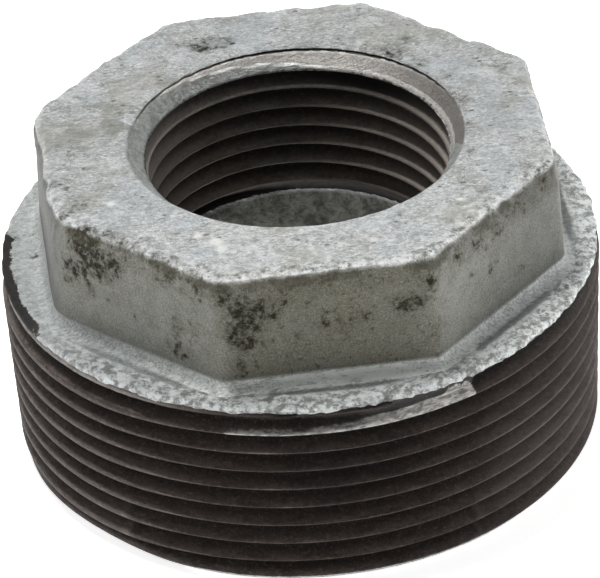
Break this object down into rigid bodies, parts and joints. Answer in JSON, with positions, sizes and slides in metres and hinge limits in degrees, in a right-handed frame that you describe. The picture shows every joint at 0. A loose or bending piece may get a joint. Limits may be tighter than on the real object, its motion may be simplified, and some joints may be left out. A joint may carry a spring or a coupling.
{
  "type": "reducing bushing",
  "caption": "Galvanized cast iron concentric pipe reducer: bushing with an octagonal wrench head, tapered male thread outside and a smaller tapered female thread in its bore.",
  "frame": {"origin": "centre of the male end face, on the common axis of both threads", "axes": "+Z along the axis of both threads, from the male end towards the wrench head; two opposite wrench flats face -Y and +Y, two face -X and +X"},
  "size_m": [0.0606, 0.0606, 0.0335],
  "materials": {
    "galvanized_iron": "hot-dip zinc over a rough casting; the cut threads are bare dark iron"
  },
  "bodies": {
    "root": {"bushing_body": "galvanized_iron"}
  },
  "joints": []
}
